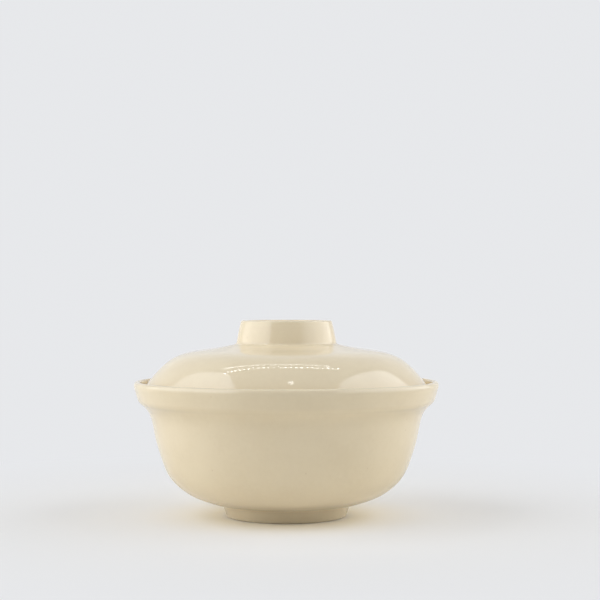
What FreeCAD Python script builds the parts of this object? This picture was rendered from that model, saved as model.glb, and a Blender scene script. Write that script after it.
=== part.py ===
import FreeCAD, Part
import os

os.makedirs("parts", exist_ok=True)

# Millimetres. +Z is up. The origin is on the turning axis, on the surface that the foot stands on.
# Both pieces are turned shapes: each is drawn as a half section, as (radius, height) points, and
# swept once round Z.

# Bowl sizes
rim_radius = 75.0          # widest point, just under the lip
bowl_height = 66.4         # table to the top of the lip
lip_drop = 2.1             # how far the widest point lies below the lip's top
lip_thickness = 3.0        # across the collar at its widest point
collar_height = 16.5       # lip's top down to the waist, where the belly ends
shoulder_step = 7.8        # how far the collar stands out past the waist
foot_radius = 29.6         # outside of the foot ring where it stands
foot_height = 6.6          # table to the underside of the belly, beside the foot
foot_flare = 2.0           # how much wider the foot is at its top than where it stands
foot_wall = 3.0            # across the standing ring, before its edges are rounded
foot_hollow = 4.8          # depth of the hollow inside the foot ring
foot_draft = 0.6           # how much narrower that hollow is at its ceiling
floor_thickness = 3.5      # middle of the bowl
wall = 3.0                 # belly

# Gallery in the bowl's collar, which the lid sits in
gallery_depth = 8.8        # lip's top to the ledge
gallery_draft = 0.7        # how much wider the gallery is at the lip than at the ledge
ledge_inset = 0.5          # how far the ledge reaches in past the lid's seat
ledge_lean = 0.45          # how much the inside leans outward where it meets the ledge

# Lid sizes
lid_gap = 1.1              # loose fit round the lid's edge
lid_wall = 3.0
edge_rise = 2.7            # upright edge of the lid
edge_lean = 0.05           # how much the inside leans outward where it meets the seat
side_run = 20.2            # from the lid's shoulder out to its edge
crown_rise = 27.2          # from the ledge up to the crown, beside the knob
crown_drop = 4.6           # how far the crown falls from the knob to the shoulder
crown_slope = 0.22         # of the crown beside the knob
knob_radius = 24.6         # outside of the ring knob at its root
knob_height = 11.5         # above the crown beside it
knob_taper = 2.25          # how much narrower the knob is at its top
knob_bulge = 0.25          # how far the knob's side swells past a straight taper
knob_wall = 3.0            # across the ring at its top, before its edges are rounded
knob_floor_rise = 1.9      # floor of the knob's hollow, above the crown beside the knob
knob_draft = 0.6           # how much narrower that hollow is at its floor
knob_floor = 3.0           # thickness under that hollow

# Edge roundings, each no more than its wall has room for
lip_outer_round = min(1.7, 0.57 * lip_thickness)
lip_inner_round = min(1.1, 0.37 * lip_thickness)
gallery_round = 0.7
ledge_round = 0.9
foot_round = min(0.7, 0.25 * foot_wall)
foot_root_round = 1.2
hollow_round = 1.6
seat_round = min(0.8, 0.27 * lid_wall)
knob_root_round = 1.9
knob_outer_round = min(1.2, 0.4 * knob_wall)
knob_inner_round = min(0.9, 0.3 * knob_wall)

# Outlines as shares of the way between two named corner points, (along the radius, along the height)
belly_shares = [(0.138, 0.006), (0.278, 0.040), (0.419, 0.087), (0.577, 0.171), (0.735, 0.309),
                (0.846, 0.517), (0.935, 0.771)]
collar_shares = [(0.100, 0.110), (0.386, 0.298), (0.709, 0.464), (0.868, 0.701)]
crown_shares = [(0.134, 0.165), (0.370, 0.415), (0.685, 0.663)]
side_shares = [(0.345, 0.153), (0.640, 0.408), (0.837, 0.640), (0.956, 0.799)]
belly_steps = 26           # how finely the belly is followed to make its inside
side_steps = 16            # the same for the lid


def at(radius, height):
    return FreeCAD.Vector(0, radius, height)


def path(*corners):
    """Straight edges from corner to corner."""
    return [Part.LineSegment(at(*a), at(*b)).toShape() for a, b in zip(corners, corners[1:])]


def through(points, leaving, arriving):
    """One smooth curve through the points, with its direction at both ends."""
    shape = Part.BSplineCurve()
    spots = [at(*p) for p in points]
    first, last = at(*leaving).normalize(), at(*arriving).normalize()
    shape.interpolate(Points=spots, InitialTangent=first, FinalTangent=last, Scale=False)
    return shape


def between(low, high, shares):
    return [(low[0] + u * (high[0] - low[0]), low[1] + v * (high[1] - low[1])) for u, v in shares]


def beside(shape, depth, steps):
    """Points at one distance to the left of a curve, evenly spaced along it."""
    points = []
    for i in range(steps + 1):
        where = shape.FirstParameter + (shape.LastParameter - shape.FirstParameter) * i / steps
        spot, along = shape.value(where), shape.tangent(where)[0]
        points.append((spot.y - along.z * depth, spot.z + along.y * depth))
    return points


def turned(edges, corners):
    """Sweeps a closed half section round Z, then rounds the circular edges at the given corners."""
    solid = Part.Face(Part.Wire(Part.__sortEdges__(edges))).revolve(at(0, 0), FreeCAD.Vector(0, 0, 1), 360)
    for corner, size in corners:
        spot = Part.Vertex(at(*corner))
        ring = [e for e in solid.Edges if e.BoundBox.ZLength < 0.01 and e.distToShape(spot)[0] < 0.01]
        solid = solid.makeFillet(size, ring)
    return solid


# Bowl outside: flat underside and full belly, waist, shoulder and flared collar, all one curve
foot_top = (foot_radius + foot_flare, foot_height)
waist = (rim_radius - shoulder_step, bowl_height - collar_height)
widest = (rim_radius, bowl_height - lip_drop)
belly = [foot_top] + between(foot_top, waist, belly_shares) + [waist]
bowl_outside = through(belly + between(waist, widest, collar_shares) + [widest], (1, 0), (0, 1))

# Gallery, and the lid's edge inside it
ledge_height = bowl_height - gallery_depth
gallery_top = (rim_radius - lip_thickness, bowl_height)
gallery_foot = (gallery_top[0] - gallery_draft, ledge_height)
seat_outer = (gallery_foot[0] - lid_gap, ledge_height)
seat_inner = (seat_outer[0] - lid_wall, ledge_height)
ledge_inner = (seat_inner[0] - ledge_inset, ledge_height)

# Bowl inside: one wall's distance from the belly, from a dished floor up to the ledge
floor_middle = (0, foot_hollow + floor_thickness)
inside_belly = [p for p in beside(bowl_outside, wall, belly_steps) if p[0] > foot_top[0] and p[1] < waist[1]]
bowl_inside = through([floor_middle] + inside_belly + [ledge_inner], (1, 0), (ledge_lean, 1))

stand_outer = (foot_radius, 0)
stand_inner = (foot_radius - foot_wall, 0)
hollow_corner = (stand_inner[0] - foot_draft, foot_hollow)
hollow_middle = (0, foot_hollow)
lip_outer = (rim_radius, bowl_height)
bowl = turned(path(hollow_middle, hollow_corner, stand_inner, stand_outer, foot_top)
              + [bowl_outside.toShape()]
              + path(widest, lip_outer, gallery_top, gallery_foot, ledge_inner)
              + [bowl_inside.toShape()]
              + path(floor_middle, hollow_middle),
              [(hollow_corner, hollow_round), (stand_inner, foot_round), (stand_outer, foot_round),
               (foot_top, foot_root_round), (lip_outer, lip_outer_round), (gallery_top, lip_inner_round),
               (gallery_foot, gallery_round), (ledge_inner, ledge_round)])

# Lid outside: nearly flat crown, round shoulder and side as one curve, down to the upright edge
knob_root = (knob_radius, ledge_height + crown_rise)
lid_shoulder = (seat_outer[0] - side_run, knob_root[1] - crown_drop)
edge_top = (seat_outer[0], ledge_height + edge_rise)
crown = [knob_root] + between(knob_root, lid_shoulder, crown_shares) + [lid_shoulder]
side = between(lid_shoulder, edge_top, side_shares) + [edge_top]
lid_outside = through(crown + side, (1, -crown_slope), (0, -1))

# Ring knob: a tapered ring whose hollow has the lid's crown as its floor
knob_outer = (knob_radius - knob_taper, knob_root[1] + knob_height)
knob_inner = (knob_outer[0] - knob_wall, knob_outer[1])
knob_corner = (knob_inner[0] - knob_draft, knob_root[1] + knob_floor_rise)
knob_middle = (0, knob_corner[1])
knob_side = ((knob_root[0] + knob_outer[0]) / 2 + knob_bulge, (knob_root[1] + knob_outer[1]) / 2)

# Lid inside: one wall's distance from the crown and side, down to the seat
under_middle = (0, knob_middle[1] - knob_floor)
inside_side = [p for p in beside(lid_outside, -lid_wall, side_steps) if p[1] > edge_top[1] + edge_rise]
lid_inside = through([under_middle] + inside_side + [seat_inner], (1, 0), (edge_lean, -1))
lid = turned(path(knob_middle, knob_corner, knob_inner, knob_outer)
             + [Part.Arc(at(*knob_outer), at(*knob_side), at(*knob_root)).toShape()]
             + [lid_outside.toShape()]
             + path(edge_top, seat_outer, seat_inner)
             + [lid_inside.toShape()]
             + path(under_middle, knob_middle),
             [(knob_corner, hollow_round), (knob_inner, knob_inner_round), (knob_outer, knob_outer_round),
              (knob_root, knob_root_round), (seat_outer, seat_round), (seat_inner, seat_round)])

bowl.exportStep("parts/bowl.step")
lid.exportStep("parts/lid.step")
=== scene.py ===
import math

import bmesh
import bpy
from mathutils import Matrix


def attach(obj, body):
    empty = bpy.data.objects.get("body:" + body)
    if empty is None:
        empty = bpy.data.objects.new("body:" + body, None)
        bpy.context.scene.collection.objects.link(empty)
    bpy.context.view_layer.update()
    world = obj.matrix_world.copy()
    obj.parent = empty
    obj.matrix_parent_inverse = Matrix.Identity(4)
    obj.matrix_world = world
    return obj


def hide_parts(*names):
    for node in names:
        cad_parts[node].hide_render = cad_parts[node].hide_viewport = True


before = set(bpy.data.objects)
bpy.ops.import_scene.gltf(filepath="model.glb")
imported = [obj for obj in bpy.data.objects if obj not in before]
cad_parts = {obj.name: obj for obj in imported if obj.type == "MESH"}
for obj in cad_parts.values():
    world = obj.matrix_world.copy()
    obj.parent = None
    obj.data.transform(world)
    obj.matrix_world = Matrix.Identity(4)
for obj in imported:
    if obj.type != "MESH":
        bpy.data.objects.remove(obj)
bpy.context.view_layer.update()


# Bowl
# A serving bowl pressed in one piece from cream melamine, about 3 mm thick, and polished all over.
# Its section runs from the hollow under the foot, round the standing ring, up the belly and the
# flared collar, over the lip, down the gallery that holds the lid, and back to the middle inside.

# (radius, height) in millimetres, from the axis underneath to the axis inside
bowl_section = {
    "foot_hollow": [(0, 4.8), (4, 4.8), (9, 4.8), (14, 4.8), (18.5, 4.8), (21.8, 4.8), (23.6, 4.8),
                    (24.7, 4.72), (25.45, 4.42), (25.95, 3.9), (26.15, 3.2), (26.28, 2.3), (26.4, 1.4)],
    "standing_ring": [(26.5, 0.8), (26.62, 0.38), (26.9, 0.08), (27.4, 0), (28.1, 0), (28.8, 0),
                      (29.3, 0.05), (29.6, 0.28), (29.83, 0.75)],
    "foot_side": [(30.05, 1.5), (30.4, 2.6), (30.75, 3.8), (31.1, 4.9), (31.35, 5.6)],
    "foot_root": [(31.65, 6.15), (32.15, 6.5), (32.9, 6.62)],
    "belly": [(34.2, 6.64), (36.1, 6.8), (38.6, 7.35), (41.6, 8.36), (45, 9.68), (48.5, 11.45),
              (52.0, 13.9), (55.1, 16.7), (57.7, 19.9), (59.65, 23.5), (61.1, 27.2), (62.4, 31.0),
              (63.55, 34.7), (64.5, 38.3), (65.15, 41.5), (65.68, 44.3), (66.25, 46.9)],
    "waist": [(66.95, 49.25), (67.9, 51.35), (69.05, 52.95), (70.4, 54.38)],
    "collar": [(71.6, 55.37), (72.55, 56.35), (73.15, 57.4), (73.55, 58.6), (74.0, 60.1),
               (74.45, 61.65), (74.82, 62.95)],
    "lip": [(75.0, 64.1), (74.98, 64.9), (74.75, 65.6), (74.3, 66.1), (73.7, 66.36), (73.1, 66.42),
            (72.55, 66.28), (72.17, 65.95), (72.0, 65.4)],
    "gallery": [(71.93, 64.6), (71.83, 63.4), (71.7, 61.9), (71.57, 60.5), (71.45, 59.3),
                (71.36, 58.5), (71.22, 57.95), (70.9, 57.68)],
    "ledge": [(70.4, 57.6), (69.6, 57.6), (68.7, 57.6), (67.9, 57.6), (67.3, 57.57), (66.85, 57.42),
              (66.55, 57.1)],
    "inside": [(66.25, 56.45), (65.85, 55.5), (65.25, 54.0), (64.55, 51.8), (63.8, 49.3), (63.1, 46.6),
               (62.5, 43.7), (61.95, 40.7), (61.3, 37.8), (60.45, 34.8), (59.4, 31.5), (58.2, 28.0),
               (56.9, 24.75), (55.0, 21.3), (52.5, 18.35), (49.6, 15.85), (46.2, 13.6)],
    "inside_floor": [(42.4, 11.87), (38.6, 10.5), (34.8, 9.68), (30.8, 9.3), (26.5, 9.0), (22, 8.74),
                     (17.5, 8.55), (13, 8.42), (8.5, 8.34), (4, 8.3), (0, 8.3)],
}
# How rubbed each run of the section is, from 0, as it left the polishing wheel
bowl_rubbed = {"standing_ring": 1.0, "foot_side": 0.12, "lip": 0.3, "gallery": 0.25, "ledge": 0.6,
               "inside": 0.15, "inside_floor": 0.4}
# Where a cloth doesn't reach well and a little tea-coloured film stays
bowl_sheltered = {"foot_hollow": 0.35, "foot_root": 1.0, "waist": 0.25, "gallery": 0.6}
turning_steps = 48         # round the axis, before the surface is subdivided
smoothing = 2              # times that the surface is subdivided
widening_rounds = 40


def drawn_wide(points):
    """Moves the points out, so that the smoothed section runs through where they were.

    Smoothing takes a corner to a sixth of each neighbour and four sixths of itself.
    """
    wide = [list(point) for point in points]
    for _ in range(widening_rounds):
        before = [[-wide[1][0], wide[1][1]]] + wide[:-1]
        after = wide[1:] + [[-wide[-2][0], wide[-2][1]]]
        wide = [[here[k] + aim[k] - (a[k] + 4 * here[k] + b[k]) / 6 for k in (0, 1)]
                for here, aim, a, b in zip(wide, points, before, after)]
    return wide


def turned(name, section, marks):
    """Spins a half section once round Z and smooths it. Marks are kept as attributes of the surface."""
    points = [point for run in section.values() for point in run]
    runs = [run for run, inside in section.items() for _ in inside]
    # Smoothing draws each ring in too, so the rings are made wider by this much
    swell = 6 / (4 + 2 * math.cos(2 * math.pi / turning_steps))
    shape = bmesh.new()
    layers = {mark: shape.verts.layers.float.new(mark) for mark in marks}
    template = []
    for (radius, height), run in zip(drawn_wide(points), runs):
        corner = shape.verts.new((radius * swell / 1000, 0, height / 1000))
        for mark, amounts in marks.items():
            corner[layers[mark]] = amounts.get(run, 0)
        template.append(corner)
    for first, second in zip(template, template[1:]):
        shape.edges.new((first, second))
    bmesh.ops.spin(shape, geom=shape.verts[:] + shape.edges[:], cent=(0, 0, 0), axis=(0, 0, 1),
                   angle=2 * math.pi, steps=turning_steps, use_merge=True)
    bmesh.ops.remove_doubles(shape, verts=shape.verts, dist=1e-6)
    bmesh.ops.recalc_face_normals(shape, faces=shape.faces)
    for face in shape.faces:
        face.smooth = True
    mesh = bpy.data.meshes.new(name)
    shape.to_mesh(mesh)
    shape.free()
    piece = bpy.data.objects.new(name, mesh)
    bpy.context.scene.collection.objects.link(piece)
    smooth = piece.modifiers.new("smoothing", "SUBSURF")
    smooth.levels = smooth.render_levels = smoothing
    return piece


class Value:
    """A number that varies over a surface. Sums and products of it add Math nodes to its finish."""

    def __init__(self, finish, socket):
        self.finish = finish
        self.socket = socket

    def output(self, name):
        return Value(self.finish, self.socket.node.outputs[name])

    def joined(self, operation, first, second):
        return self.finish.node("ShaderNodeMath", {"operation": operation}, {0: first, 1: second})

    def __add__(self, other):
        return self.joined("ADD", self, other)

    def __radd__(self, other):
        return self.joined("ADD", other, self)

    def __sub__(self, other):
        return self.joined("SUBTRACT", self, other)

    def __rsub__(self, other):
        return self.joined("SUBTRACT", other, self)

    def __mul__(self, other):
        return self.joined("MULTIPLY", self, other)

    def __rmul__(self, other):
        return self.joined("MULTIPLY", other, self)


class Finish:
    """The nodes of one material, lamp or backdrop."""

    def __init__(self, owner):
        owner.use_nodes = True
        self.owner = owner
        self.nodes = owner.node_tree.nodes
        self.links = owner.node_tree.links

    def give(self, node, socket, given):
        if isinstance(given, Value):
            self.links.new(given.socket, node.inputs[socket])
        else:
            node.inputs[socket].default_value = given

    def node(self, kind, settings, sockets, output=0):
        """Adds a node: its settings first, then the values or links of its sockets."""
        made = self.nodes.new(kind)
        for name, setting in settings.items():
            setattr(made, name, setting)
        for name, given in sockets.items():
            self.give(made, name, given)
        return Value(self, made.outputs[output])

    def noise(self, place, per_metre, detail=2.0, rough=0.5):
        return self.node("ShaderNodeTexNoise", {}, {"Vector": place, "Scale": per_metre,
                                                    "Detail": detail, "Roughness": rough})

    def rising(self, value, low, high, start=0.0, end=1.0):
        """A soft step from start to end, as the value goes from low to high."""
        return self.node("ShaderNodeMapRange", {"interpolation_type": "SMOOTHSTEP"},
                         {"Value": value, "From Min": low, "From Max": high, "To Min": start, "To Max": end})

    def blend(self, amount, first, second):
        """One colour where the amount is 0, the other where it is 1."""
        return self.node("ShaderNodeMix", {"data_type": "RGBA"}, {0: amount, 6: first, 7: second}, output=2)

    def split(self, vector, output):
        return self.node("ShaderNodeSeparateXYZ", {}, {0: vector}, output=output)

    def length(self, vector):
        return self.node("ShaderNodeVectorMath", {"operation": "LENGTH"}, {0: vector}, output="Value")


light_cream = (0.87, 0.742, 0.515, 1)
deep_cream = (0.84, 0.71, 0.485, 1)
tan_speck = (0.66, 0.50, 0.30, 1)
scuffed_cream = (0.74, 0.66, 0.50, 1)
tea_film = (0.70, 0.53, 0.31, 1)
parting_width = 0.0004     # metres, to each side of the line
melamine_index = 1.55      # of refraction


def cream_melamine(name, parting_height):
    """Polished melamine: cloudy pigment, a few specks, smudges, hairlines, and wear by the marks."""
    finish = Finish(bpy.data.materials.new(name))
    shader = finish.nodes["Principled BSDF"]
    place = finish.node("ShaderNodeTexCoord", {}, {}, output="Object")
    rubbed = finish.node("ShaderNodeAttribute", {"attribute_name": "rubbed"}, {}, output="Fac")
    sheltered = finish.node("ShaderNodeAttribute", {"attribute_name": "sheltered"}, {}, output="Fac")

    # Round the axis and up it, for marks that follow the turning direction
    flat = finish.node("ShaderNodeVectorMath", {"operation": "MULTIPLY"}, {0: place, 1: (1, 1, 0)})
    around = finish.node("ShaderNodeVectorMath", {"operation": "NORMALIZE"}, {0: flat})
    radius = finish.length(flat)
    height = finish.split(place, "Z")
    facing = finish.split(around, "X")
    strokes_round, strokes_up = 2.2, 1500
    turn = finish.node("ShaderNodeCombineXYZ", {}, {"X": facing * strokes_round,
                                                    "Y": facing.output("Y") * strokes_round,
                                                    "Z": (height - radius * 0.8) * strokes_up})

    # Colour
    clouds = finish.noise(place, 38, 3.0, 0.55)
    mottle = finish.noise(place, 520, 2.0)
    pigment = finish.rising(clouds * 0.72 + mottle * 0.28, 0.32, 0.68)
    cream = finish.blend(pigment, deep_cream, light_cream)
    cells = finish.node("ShaderNodeTexVoronoi", {}, {"Vector": place, "Scale": 210}, output="Distance")
    lot = finish.node("ShaderNodeSeparateColor", {}, {0: cells.output("Color")})
    speck = finish.rising(cells, 0.055, 0.11, 1.0, 0.0) * finish.rising(lot, 0.86, 0.9)
    cream = finish.blend(speck * 0.4, cream, tan_speck)
    patches = finish.noise(place, 160, 4.0, 0.65)
    film = sheltered * finish.rising(patches, 0.35, 0.75)
    cream = finish.blend(film * 0.16, cream, tea_film)
    grain = finish.noise(place, 2600, 2.0, 0.6)
    scuff = rubbed * finish.rising(patches * 0.6 + grain * 0.4, 0.32, 0.72)
    cream = finish.blend(scuff * 0.35, cream, scuffed_cream)
    finish.give(shader, "Base Color", cream)

    # Gloss: finger smudges, hairlines round the axis, and a dull line where the mould parted
    smudges = finish.rising(finish.noise(place, 75, 5.0, 0.6), 0.48, 0.72)
    hairlines = finish.rising(finish.noise(turn, 1.0, 3.0, 0.7), 0.66, 0.74)
    strokes = finish.rising(finish.noise(place, 30, 1.0), 0.4, 0.65)
    off_line = height - parting_height
    parting = finish.rising(off_line * off_line, 0.0, parting_width * parting_width, 1.0, 0.0)
    dull = (0.055 + smudges * 0.035 + hairlines * strokes * 0.07 + parting * patches * 0.1
            + film * 0.12 + scuff * 0.42 + rubbed * 0.03)
    finish.give(shader, "Roughness", dull)

    # Relief in metres: the pressed wall isn't quite true, its skin has a faint orange peel, and
    # hairlines and scuffs are cut into it
    waviness = finish.noise(place, 24, 1.0) * 9e-6
    peel = finish.noise(place, 620, 1.0) * 7e-7
    marks = hairlines * strokes * -6e-7 - scuff * grain * 1.5e-5
    relief = finish.node("ShaderNodeBump", {}, {"Strength": 1.0, "Distance": 1.0,
                                               "Height": waviness + peel + marks})
    finish.give(shader, "Normal", relief)
    finish.give(shader, "IOR", melamine_index)
    return finish.owner


bowl = turned("bowl_ware", bowl_section, {"rubbed": bowl_rubbed, "sheltered": bowl_sheltered})
bowl.data.materials.append(cream_melamine("bowl_melamine", parting_height=0.0643))
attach(bowl, "bowl")
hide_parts("bowl")


# Lid
# A loose lid pressed from the same melamine. Its edge drops into the bowl's gallery and stands on
# the ledge. The ring knob is part of the pressing: a tapered ring with the crown as its floor.

# (radius, height) in millimetres, from the axis underneath to the axis on top
lid_section = {
    "under_crown": [(0, 83.7), (4, 83.7), (8.5, 83.58), (13, 83.33), (17.5, 82.9), (21.5, 82.33),
                    (25.5, 81.53), (29.5, 80.66), (33.5, 79.93), (37.5, 79.33), (41.5, 78.79), (45.2, 78.2)],
    "under_side": [(48.6, 77.47), (51.6, 76.5), (54.4, 75.2), (57, 73.5), (59.4, 71.4), (61.6, 69.05),
                   (63.6, 66.8), (65.1, 65.0), (66.05, 63.4), (66.55, 61.9), (66.85, 60.6), (67.0, 59.5)],
    "seat": [(67.1, 58.7), (67.2, 58.2), (67.42, 57.82), (67.85, 57.63), (68.4, 57.6), (69.1, 57.6),
             (69.6, 57.65), (69.95, 57.85)],
    "edge": [(70.15, 58.2), (70.2, 58.8), (70.2, 59.6), (70.15, 60.7), (69.97, 62.2), (69.3, 64.15)],
    "side": [(68.0, 66.15), (66.4, 68.15), (64.72, 70.12), (62.93, 72.08), (61.0, 73.98), (58.85, 75.82),
             (56.5, 77.43), (53.9, 78.78), (51.1, 79.86)],
    "crown": [(48.1, 80.69), (45.0, 81.31), (41.8, 81.79), (38.5, 82.23), (35.2, 82.7), (31.9, 83.26),
              (29.2, 83.78), (27.4, 84.17), (26.3, 84.4)],
    "knob_root": [(25.6, 84.62), (25.1, 84.9), (24.8, 85.25), (24.6, 85.75)],
    "knob_side": [(24.45, 86.5), (24.27, 87.6), (24.0, 89.1), (23.65, 90.9), (23.25, 92.7), (22.9, 94.2),
                  (22.65, 95.15)],
    "knob_top": [(22.45, 95.72), (22.1, 96.1), (21.6, 96.27), (21.0, 96.3), (20.4, 96.3), (19.9, 96.24),
                 (19.55, 96.0), (19.37, 95.55)],
    "knob_hollow": [(19.3, 94.8), (19.2, 93.5), (19.08, 91.9), (18.97, 90.3), (18.88, 89.0),
                    (18.78, 88.1), (18.55, 87.5), (18.1, 87.0), (17.4, 86.75)],
    "knob_floor": [(16.4, 86.7), (14.6, 86.7), (12, 86.7), (8.5, 86.7), (4.5, 86.7), (0, 86.7)],
}
lid_rubbed = {"seat": 0.8, "edge": 0.3, "knob_side": 0.1, "knob_top": 0.55}
lid_sheltered = {"under_side": 0.2, "knob_root": 0.7, "knob_hollow": 0.8, "knob_floor": 0.2}

lid = turned("lid_ware", lid_section, {"rubbed": lid_rubbed, "sheltered": lid_sheltered})
lid.data.materials.append(cream_melamine("lid_melamine", parting_height=0.0605))
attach(lid, "lid")
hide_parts("lid")


# Floor
# A plain white sheet laid under the bowl, with a faint satin grain. It isn't part of the object.
# It holds the bowl's shadow, thinned near the foot by painted warm bounce light, and takes on the
# backdrop's grey further out, so that no horizon shows.

floor_reach = 3.0
floor_drop = 0.0001        # below the standing ring, so that the two faces don't coincide
shape = bmesh.new()
bmesh.ops.create_circle(shape, cap_ends=True, segments=96, radius=floor_reach)
bmesh.ops.translate(shape, verts=shape.verts, vec=(0, 0, -floor_drop))
floor_mesh = bpy.data.meshes.new("floor_sheet")
shape.to_mesh(floor_mesh)
shape.free()
floor = bpy.data.objects.new("floor_sheet", floor_mesh)
bpy.context.scene.collection.objects.link(floor)

white_sheet = (0.91, 0.89, 0.85, 1)
shaded_white = (0.90, 0.88, 0.84, 1)
# Painted bounce light: a cream glow painted onto the sheet round the foot, where light thrown off the bowl
# would fall
painted_bounce_cream = (0.82, 0.67, 0.38, 1)     # the bowl's cream, thrown onto the sheet round the foot
backdrop_grey = (0.80, 0.81, 0.83, 1)


def shown(finish):
    """1 for a ray that shows a thing, straight, mirrored or through glass, and 0 for one that lights."""
    seen = finish.node("ShaderNodeLightPath", {}, {}, output="Is Camera Ray")
    return seen + seen.output("Is Glossy Ray") + seen.output("Is Transmission Ray")


sheet = Finish(bpy.data.materials.new("white_sheet"))
sheet_shader = sheet.nodes["Principled BSDF"]
spot = sheet.node("ShaderNodeTexCoord", {}, {}, output="Object")
away = sheet.length(spot)
tooth = sheet.noise(spot, 900, 3.0)
drift = sheet.noise(spot, 6, 2.0)
sheet.give(sheet_shader, "Base Color", sheet.blend(drift, shaded_white, white_sheet))
sheet.give(sheet_shader, "Roughness", 0.72 + tooth * 0.1)
sheet.give(sheet_shader, "Specular IOR Level", 0.15)
satin = sheet.node("ShaderNodeBump", {}, {"Strength": 1.0, "Distance": 1.0, "Height": tooth * 4e-6})
sheet.give(sheet_shader, "Normal", satin)

# Near the foot a third of the sheet's look, for straight views, is painted warm bounce light that thins
# its shadow, but not right beside the ring. From 80 to 300 mm out the backdrop's grey takes over.
painted_bounce_glow = sheet.node("ShaderNodeEmission", {}, {"Color": painted_bounce_cream})
grey_glow = sheet.node("ShaderNodeEmission", {}, {"Color": backdrop_grey})
glow = sheet.node("ShaderNodeMixShader", {}, {0: sheet.rising(away, 0.02, 0.08), 1: painted_bounce_glow, 2: grey_glow})
seen = shown(sheet)
straight = sheet.node("ShaderNodeLightPath", {}, {}, output="Is Camera Ray")
greyed = sheet.rising(away, 0.08, 0.3)
# Painted light laid over the shadow near the foot, for straight views only
painted_shadow_lift = straight * (1 - greyed) * sheet.rising(away, 0.029, 0.036, 0.0, 0.32)
lit_sheet = Value(sheet, sheet_shader.outputs[0])
sheet_look = sheet.node("ShaderNodeMixShader", {}, {0: seen * greyed + painted_shadow_lift,
                                                    1: lit_sheet, 2: glow})

# Light passes the sheet far out and inside the standing ring, and everything passes it from below
passed = (1 - seen) * sheet.rising(away, 0.5, 1.6) + sheet.rising(away, 0.0278, 0.0284, 1.0, 0.0)
from_below = sheet.node("ShaderNodeNewGeometry", {}, {}, output="Backfacing")
see_through = sheet.node("ShaderNodeBsdfTransparent", {}, {})
whole_sheet = sheet.node("ShaderNodeMixShader", {}, {0: passed + from_below * (1 - passed),
                                                     1: sheet_look, 2: see_through})
sheet.give(sheet.nodes["Material Output"], "Surface", whole_sheet)
floor_mesh.materials.append(sheet.owner)


# Lamps
# Two tall softboxes, one on each side, give the two pale windows on the lid's shoulder, and a faint
# one stands behind. A row of small lamps and a bar hang over the bowl and give the string of lights
# on the lid. One more lamp over the front gives the dot there.

lamp_height = 0.5
softbox_foot = 0.095
softbox_white = (0.91, 0.94, 1.0)
corner_blur = 0.04


def softbox(name, place, turn, size, radiance, outline="RECTANGLE"):
    """A flat lamp. Its power follows from its size and from how bright its face looks."""
    data = bpy.data.lights.new(name, "AREA")
    data.shape = outline
    data.size, data.size_y = size
    data.energy = radiance * math.pi * size[0] * size[1]
    lamp = bpy.data.objects.new(name, data)
    lamp.location = place
    lamp.rotation_euler = turn
    lamp.visible_camera = False
    bpy.context.scene.collection.objects.link(lamp)
    return lamp


def side_softbox(name, side, front, back, top, radiance, hot_y, fall_y, slant, corner):
    """A standing softbox one metre to a side, brightest at hot_y and dark fall_y away from there.

    Its upper rear corner is cut off, where the height plus slant times Y passes corner.
    """
    lamp = softbox(name, (side, (front + back) / 2, (top + softbox_foot) / 2), (0, side * math.pi / 2, 0),
                   (top - softbox_foot, back - front), radiance)
    lamp.data.color = softbox_white
    face = Finish(lamp.data)
    where = face.node("ShaderNodeNewGeometry", {}, {}, output="Position")
    along = face.split(where, "Y")
    upward = along.output("Z")
    across = (along - hot_y) * (1 / fall_y)
    uncut = face.rising(upward + along * slant, corner - corner_blur, corner + corner_blur, 1.0, 0.0)
    brighter_top = face.rising(upward, 1.1, 1.9, 1.0, 1.05)
    face.give(face.nodes["Emission"], "Strength", (1 - across * across) * brighter_top * uncut)


side_softbox("left_softbox", side=-1, front=-1.25, back=0.68, top=2.0, radiance=2.3,
             hot_y=-0.6, fall_y=1.7, slant=2.0, corner=2.6)
side_softbox("right_softbox", side=1, front=-1.25, back=0.93, top=1.95, radiance=1.86,
             hot_y=0.15, fall_y=1.7, slant=0.7, corner=1.87)
softbox("rear_softbox", (0, 1.2, 0.6), (-math.pi / 2, 0, 0), (1.2, 0.5), radiance=0.08)

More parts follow.
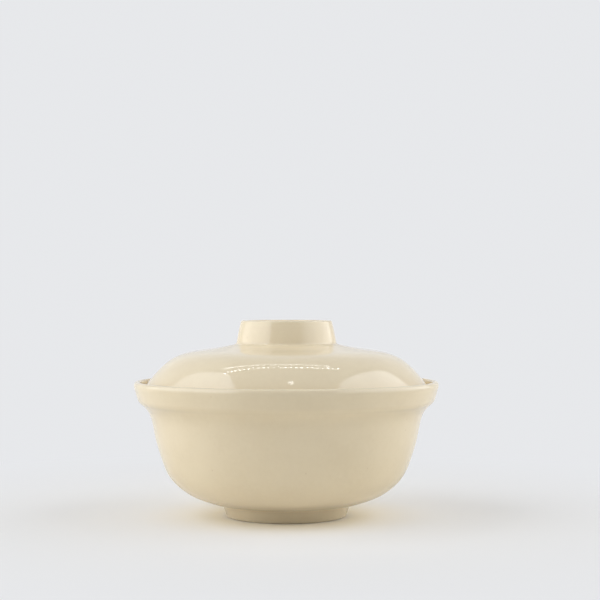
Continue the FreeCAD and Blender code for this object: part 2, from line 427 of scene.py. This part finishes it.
row_left = -0.2543
row_step = 0.0193
for i in range(24):
    x = row_left + row_step * i
    bow = 0.02 + 0.69 * x ** 2 + 2.37 * x ** 3
    softbox(f"row_lamp_{i:02d}", (x, bow, lamp_height), (0, 0, 0), (0.006, 0.015), radiance=19)
softbox("row_bar", (-0.047, 0.095, lamp_height), (0, 0, 0), (0.395, 0.012), radiance=7.5)
softbox("front_lamp", (0.022, -0.16, lamp_height), (0, 0, 0), (0.026, 0.02), radiance=5, outline="ELLIPSE")


# Backdrop
# The room round the bowl: an even light grey wherever it is seen, straight or mirrored. Its light
# comes from the sheet hung behind, from a brighter band at the sides, and from the ceiling in front.

world = bpy.data.worlds.new("backdrop")
bpy.context.scene.world = world
room = Finish(world)
toward = room.node("ShaderNodeTexCoord", {}, {}, output="Generated")
depth = room.split(toward, "Y")        # 1 straight behind the bowl, -1 straight in front
rise = depth.output("Z")               # 1 straight up, -1 straight down
hung_sheet = room.rising(depth, 0.45, 0.75) * room.rising(rise, 0.35, 0.65, 1.1, 0.0)
band = (room.rising(depth, -0.6, 0.5, 0.0, 3.9) * room.rising(depth, 0.5, 0.9, 1.0, 0.3)
        * room.rising(rise, -0.6, -0.2, 0.25, 1.0) * room.rising(rise, 0.0, 0.1, 1.0, 0.0))
ceiling = (room.rising(depth, -0.6, 0.5, 0.45, 0.0) * room.rising(rise, 0.5, 0.62)
           * room.rising(rise, 0.86, 0.94, 1.0, 0.0))
room_light = room.nodes["Background"]
room.give(room_light, "Color", (1.0, 1.0, 0.98, 1))
room.give(room_light, "Strength", hung_sheet + band + ceiling)
grey_room = room.node("ShaderNodeBackground", {}, {"Color": backdrop_grey})
whole_room = room.node("ShaderNodeMixShader", {}, {0: shown(room), 1: Value(room, room_light.outputs[0]),
                                                   2: grey_room})
room.give(room.nodes["World Output"], "Surface", whole_room)


# Camera
# It stands three quarters of a metre in front and looks straight ahead, from 10 mm above the knob.
# It is 7 mm off to the right of the bowl's axis.

camera_data = bpy.data.cameras.new("camera")
camera_data.lens = 90
camera_data.sensor_width = 36
camera_data.clip_start = 0.01
camera = bpy.data.objects.new("camera", camera_data)
camera.location = (0.0067, -0.742, 0.10635)
camera.rotation_euler = (math.pi / 2, 0, 0)
bpy.context.scene.collection.objects.link(camera)
bpy.context.scene.camera = camera
bpy.context.scene.view_settings.view_transform = "Standard"
